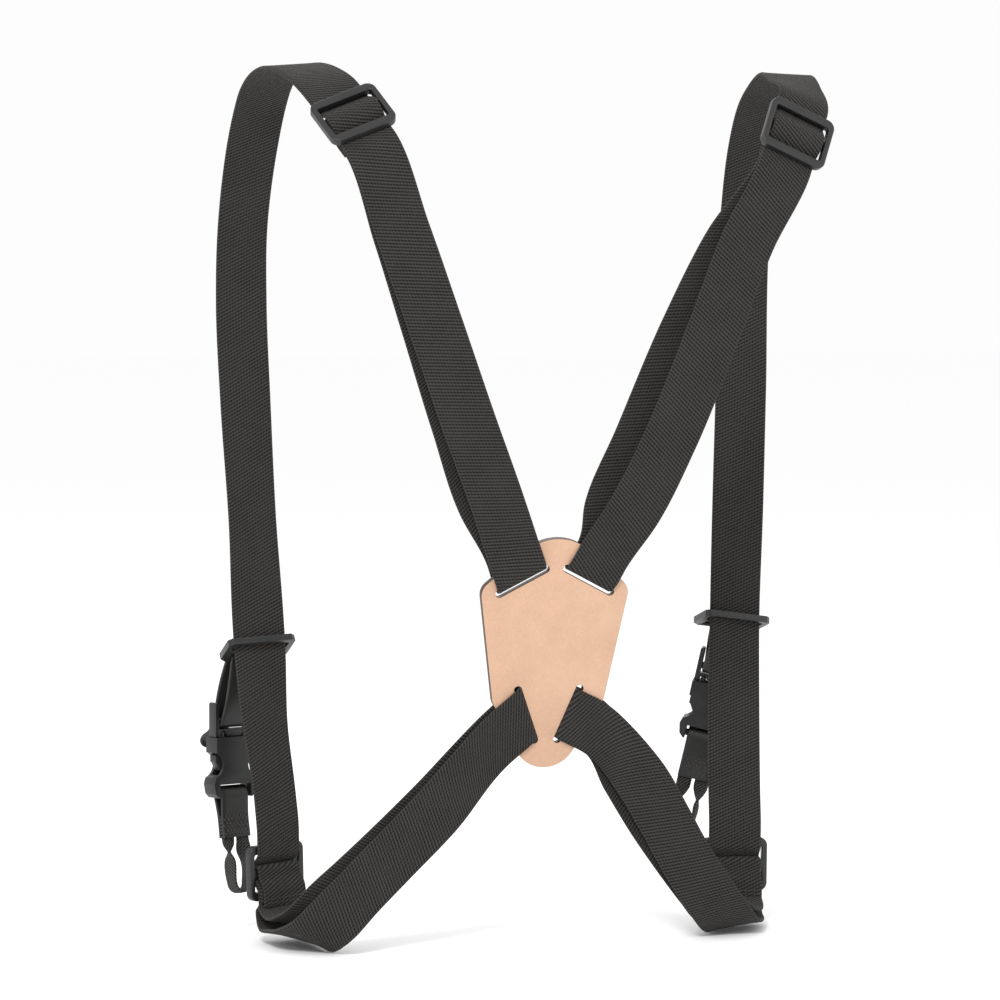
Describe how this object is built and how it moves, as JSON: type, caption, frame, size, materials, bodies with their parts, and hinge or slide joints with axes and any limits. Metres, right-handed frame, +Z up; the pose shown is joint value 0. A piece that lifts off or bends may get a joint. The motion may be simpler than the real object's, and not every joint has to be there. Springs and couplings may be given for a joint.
{
  "type": "binocular harness",
  "caption": "Crossed elastic shoulder harness on a slotted leather back patch, with strap adjusters and sliding chest plates that carry quick-release buckles and webbing loops",
  "frame": {"origin": "on the floor line, under the middle of the whole harness", "axes": "+Z up, +X to the wearer's right, +Y to the wearer's chest, so the back patch is on the -Y side"},
  "size_m": [0.2695, 0.1671, 0.4007],
  "materials": {
    "elastic": "ribbed twill elastic, matte",
    "leather_tan": "smooth vegetable-tanned leather, dark burnished edge",
    "plastic": "satin moulded plastic",
    "leather_black": "smooth black leather with a paler cut edge",
    "webbing": "tight woven webbing"
  },
  "bodies": {
    "harness": {"back_patch": "leather_tan", "left_strap_upper": "elastic", "left_strap_front": "elastic", "left_strap_lower": "elastic", "right_strap_upper": "elastic", "right_strap_front": "elastic", "right_strap_lower": "elastic"},
    "left_upper_adjuster_body": {"left_upper_adjuster": "plastic"},
    "left_lower_adjuster_body": {"left_lower_adjuster": "plastic"},
    "left_plate_body": {"left_slider_plate": "plastic"},
    "left_tab_body": {"left_upper_tab": "leather_black", "left_pull_tongue": "leather_black"},
    "left_plug_body": {"left_buckle_plug": "plastic"},
    "left_outer_prong_body": {"left_outer_prong": "plastic"},
    "left_inner_prong_body": {"left_inner_prong": "plastic"},
    "left_socket_body": {"left_buckle_socket": "plastic"},
    "left_loop_body": {"left_lower_tab": "leather_black", "left_webbing_loop": "webbing"},
    "right_upper_adjuster_body": {"right_upper_adjuster": "plastic"},
    "right_lower_adjuster_body": {"right_lower_adjuster": "plastic"},
    "right_plate_body": {"right_slider_plate": "plastic"},
    "right_tab_body": {"right_upper_tab": "leather_black", "right_pull_tongue": "leather_black"},
    "right_plug_body": {"right_buckle_plug": "plastic"},
    "right_outer_prong_body": {"right_outer_prong": "plastic"},
    "right_inner_prong_body": {"right_inner_prong": "plastic"},
    "right_socket_body": {"right_buckle_socket": "plastic"},
    "right_loop_body": {"right_lower_tab": "leather_black", "right_webbing_loop": "webbing"}
  },
  "joints": [
    {"name": "left_upper_adjuster_slide", "type": "slide", "parent": "harness", "child": "left_upper_adjuster_body", "axis": [0.3107, -0.7015, -0.6414], "range_m": [0, 0.06], "deforming": ["left_strap_upper", "left_strap_front"]},
    {"name": "left_lower_adjuster_slide", "type": "slide", "parent": "harness", "child": "left_lower_adjuster_body", "axis": [-0.03, -0.04, 0.9988], "range_m": [0, 0.06], "deforming": ["left_strap_lower", "left_strap_front"]},
    {"name": "left_plate_slide", "type": "slide", "parent": "harness", "child": "left_plate_body", "axis": [-0.053, 0.0177, 0.9984], "range_m": [-0.015, 0.11]},
    {"name": "left_tab_swing", "type": "hinge", "parent": "left_plate_body", "child": "left_tab_body", "pos_m": [-0.1173, 0.05847, 0.12826], "axis": [0.9937, 0.0995, 0.0521], "range_deg": [0, 60]},
    {"name": "left_plug_swing", "type": "hinge", "parent": "left_tab_body", "child": "left_plug_body", "pos_m": [-0.1219, 0.06837, 0.09776], "axis": [0.9135, 0.4068, 0], "range_deg": [-5, 14]},
    {"name": "left_socket_release", "type": "slide", "parent": "left_plug_body", "child": "left_socket_body", "axis": [0, 0, -1], "range_m": [0, 0.018], "deforming": ["left_outer_prong", "left_inner_prong"]},
    {"name": "left_outer_prong_squeeze", "type": "hinge", "parent": "left_plug_body", "child": "left_outer_prong_body", "pos_m": [-0.12765, 0.06581, 0.09176], "axis": [0.4068, -0.9135, 0], "range_deg": [0, 8], "stiffness_Nm_per_rad": 0.3},
    {"name": "left_inner_prong_squeeze", "type": "hinge", "parent": "left_plug_body", "child": "left_inner_prong_body", "pos_m": [-0.11615, 0.07093, 0.09176], "axis": [-0.4068, 0.9135, 0], "range_deg": [0, 8], "stiffness_Nm_per_rad": 0.3},
    {"name": "left_loop_swing", "type": "hinge", "parent": "left_socket_body", "child": "left_loop_body", "pos_m": [-0.1219, 0.06837, 0.06426], "axis": [0.9135, 0.4068, 0], "range_deg": [-5, 50]},
    {"name": "right_upper_adjuster_slide", "type": "slide", "parent": "harness", "child": "right_upper_adjuster_body", "axis": [-0.3868, -0.4028, -0.8296], "range_m": [0, 0.06], "deforming": ["right_strap_upper", "right_strap_front"]},
    {"name": "right_lower_adjuster_slide", "type": "slide", "parent": "harness", "child": "right_lower_adjuster_body", "axis": [0, -0.04, 0.9992], "range_m": [0, 0.06], "deforming": ["right_strap_lower", "right_strap_front"]},
    {"name": "right_plate_slide", "type": "slide", "parent": "harness", "child": "right_plate_body", "axis": [0.0311, 0.0141, 0.9994], "range_m": [-0.015, 0.11]},
    {"name": "right_tab_swing", "type": "hinge", "parent": "right_plate_body", "child": "right_tab_body", "pos_m": [0.11863, 0.05995, 0.1376], "axis": [0.989, 0.0499, -0.139], "range_deg": [0, 60]},
    {"name": "right_plug_swing", "type": "hinge", "parent": "right_tab_body", "child": "right_plug_body", "pos_m": [0.11623, 0.06715, 0.1161], "axis": [0.9006, -0.3705, -0.2273], "range_deg": [-5, 14]},
    {"name": "right_socket_release", "type": "slide", "parent": "right_plug_body", "child": "right_socket_body", "axis": [-0.161, 0.2013, -0.9662], "range_m": [0, 0.018], "deforming": ["right_outer_prong", "right_inner_prong"]},
    {"name": "right_outer_prong_squeeze", "type": "hinge", "parent": "right_plug_body", "child": "right_outer_prong_body", "pos_m": [0.12093, 0.06602, 0.10887], "axis": [0.4038, 0.9067, 0.1216], "range_deg": [0, 8], "stiffness_Nm_per_rad": 0.3},
    {"name": "right_inner_prong_squeeze", "type": "hinge", "parent": "right_plug_body", "child": "right_inner_prong_body", "pos_m": [0.1096, 0.07069, 0.11173], "axis": [-0.4038, -0.9067, -0.1216], "range_deg": [0, 8], "stiffness_Nm_per_rad": 0.3},
    {"name": "right_loop_swing", "type": "hinge", "parent": "right_socket_body", "child": "right_loop_body", "pos_m": [0.11084, 0.07389, 0.08373], "axis": [0.9006, -0.3705, -0.2273], "range_deg": [-5, 50]}
  ],
  "couplings": [
    {"joint": "left_inner_prong_squeeze", "follows": "left_outer_prong_squeeze", "ratio": 1},
    {"joint": "right_inner_prong_squeeze", "follows": "right_outer_prong_squeeze", "ratio": 1}
  ]
}
